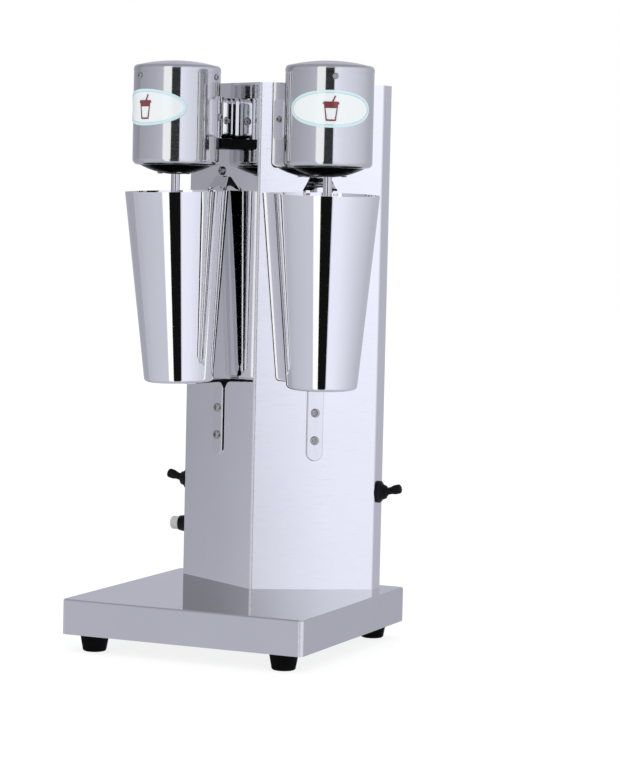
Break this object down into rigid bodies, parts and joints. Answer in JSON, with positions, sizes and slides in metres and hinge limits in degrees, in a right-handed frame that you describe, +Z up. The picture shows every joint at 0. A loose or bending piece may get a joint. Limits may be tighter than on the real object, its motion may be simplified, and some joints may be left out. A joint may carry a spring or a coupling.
{
  "type": "milkshake mixer",
  "caption": "Counter-top drink mixer: polished steel base and V-shaped column carrying motor heads with spindles that run down into tapered steel cups.",
  "frame": {"origin": "on the floor under the centre of the base", "axes": "+Z up, front faces -Y, +X to the right seen from the front"},
  "size_m": [0.2408, 0.23, 0.52],
  "materials": {
    "polished_steel": "mirror-polished stainless sheet",
    "head_steel": "mirror-polished drawn stainless steel",
    "cup_steel": "polished stainless steel",
    "plated_casting": "chrome-plated casting",
    "strip_steel": "polished stainless strip",
    "spindle_steel": "ground and polished stainless shaft",
    "agitator_steel": "stainless steel",
    "zinc_steel": "zinc-plated or stainless fasteners and plain steel sheet",
    "foot_rubber": "moulded black rubber",
    "boot_rubber": "smooth black rubber",
    "black_plastic": "moulded black plastic",
    "cream_plastic": "moulded pale plastic",
    "brass": "plain brass",
    "loom_plastic": "black sleeve over wires",
    "frosted_cap": "frosted translucent plastic",
    "fuse_glass": "glass tube with metal ends",
    "laminated_steel": "stacked electrical steel",
    "copper": "enamelled copper wire",
    "cast_aluminium": "cast aluminium",
    "carbon": "pressed carbon",
    "badge_white": "printed glossy label",
    "badge_aqua": "pale blue printed border",
    "badge_print": "printed picture of a tumbler"
  },
  "bodies": {
    "stand": {"back_panel": "polished_steel", "back_panel_screws": "zinc_steel", "backing_plates": "zinc_steel", "badge_icons": "badge_print", "badge_plates": "badge_white", "badge_rims": "badge_aqua", "base_cover": "polished_steel", "base_plate": "zinc_steel", "bottom_cover_left": "black_plastic", "bottom_cover_right": "black_plastic", "bottom_cover_screws": "zinc_steel", "brush_holders": "black_plastic", "cable_gland": "black_plastic", "cap_screws": "zinc_steel", "carbon_brushes": "carbon", "column_bolts": "zinc_steel", "column_cap": "polished_steel", "column_shell": "polished_steel", "cup_clip_left": "strip_steel", "cup_clip_right": "strip_steel", "cup_rest_left": "strip_steel", "cup_rest_right": "strip_steel", "earth_terminal": "brass", "end_brackets": "cast_aluminium", "field_coils": "copper", "foot_screws": "zinc_steel", "fuse_holder": "black_plastic", "fuse_link": "fuse_glass", "gland_nut": "black_plastic", "holder_screws": "zinc_steel", "housing_cap_left": "head_steel", "housing_cap_right": "head_steel", "motor_bearings": "zinc_steel", "motor_housing_left": "head_steel", "motor_housing_right": "head_steel", "motor_through_bolts": "zinc_steel", "neck_bolts": "zinc_steel", "neck_left": "plated_casting", "neck_right": "plated_casting", "rubber_feet": "foot_rubber", "saddle_screws": "zinc_steel", "stator_cores": "laminated_steel", "switch_bodies": "black_plastic", "terminal_block": "cream_plastic", "toggle_boots": "boot_rubber", "wire_covers": "black_plastic", "wiring_looms": "loom_plastic"},
    "rotor_left": {"armature_left": "laminated_steel", "spindle_left": "spindle_steel", "agitator_left": "agitator_steel"},
    "rotor_right": {"armature_right": "laminated_steel", "spindle_right": "spindle_steel", "agitator_right": "agitator_steel"},
    "cup_left_body": {"cup_left": "cup_steel"},
    "cup_right_body": {"cup_right": "cup_steel"},
    "toggle_left_body": {"toggle_left": "boot_rubber"},
    "toggle_right_body": {"toggle_right": "boot_rubber"},
    "fuse_cap_body": {"fuse_cap": "frosted_cap"}
  },
  "joints": [
    {"name": "spindle_left_spin", "type": "hinge", "parent": "stand", "child": "rotor_left", "pos_m": [-0.07465, 0.00962, 0.3], "axis": [0, 0, 1], "continuous": true},
    {"name": "spindle_right_spin", "type": "hinge", "parent": "stand", "child": "rotor_right", "pos_m": [0.07465, 0.00962, 0.3], "axis": [0, 0, 1], "continuous": true},
    {"name": "cup_left_tilt", "type": "hinge", "parent": "stand", "child": "cup_left_body", "pos_m": [-0.05001, 0.05112, 0.40488], "axis": [-0.8599, 0.5105, 0], "range_deg": [0, 7.5]},
    {"name": "cup_right_tilt", "type": "hinge", "parent": "stand", "child": "cup_right_body", "pos_m": [0.05001, 0.05112, 0.40488], "axis": [-0.8599, -0.5105, 0], "range_deg": [0, 7.5]},
    {"name": "toggle_left_flip", "type": "hinge", "parent": "stand", "child": "toggle_left_body", "pos_m": [-0.1015, 0.09275, 0.1346], "axis": [0, -1, 0], "range_deg": [0, 29]},
    {"name": "toggle_right_flip", "type": "hinge", "parent": "stand", "child": "toggle_right_body", "pos_m": [0.1015, 0.09275, 0.1346], "axis": [0, 1, 0], "range_deg": [0, 29]},
    {"name": "fuse_cap_turn", "type": "hinge", "parent": "stand", "child": "fuse_cap_body", "pos_m": [-0.105, 0.09275, 0.092], "axis": [-1, 0, 0], "range_deg": [0, 90]}
  ]
}
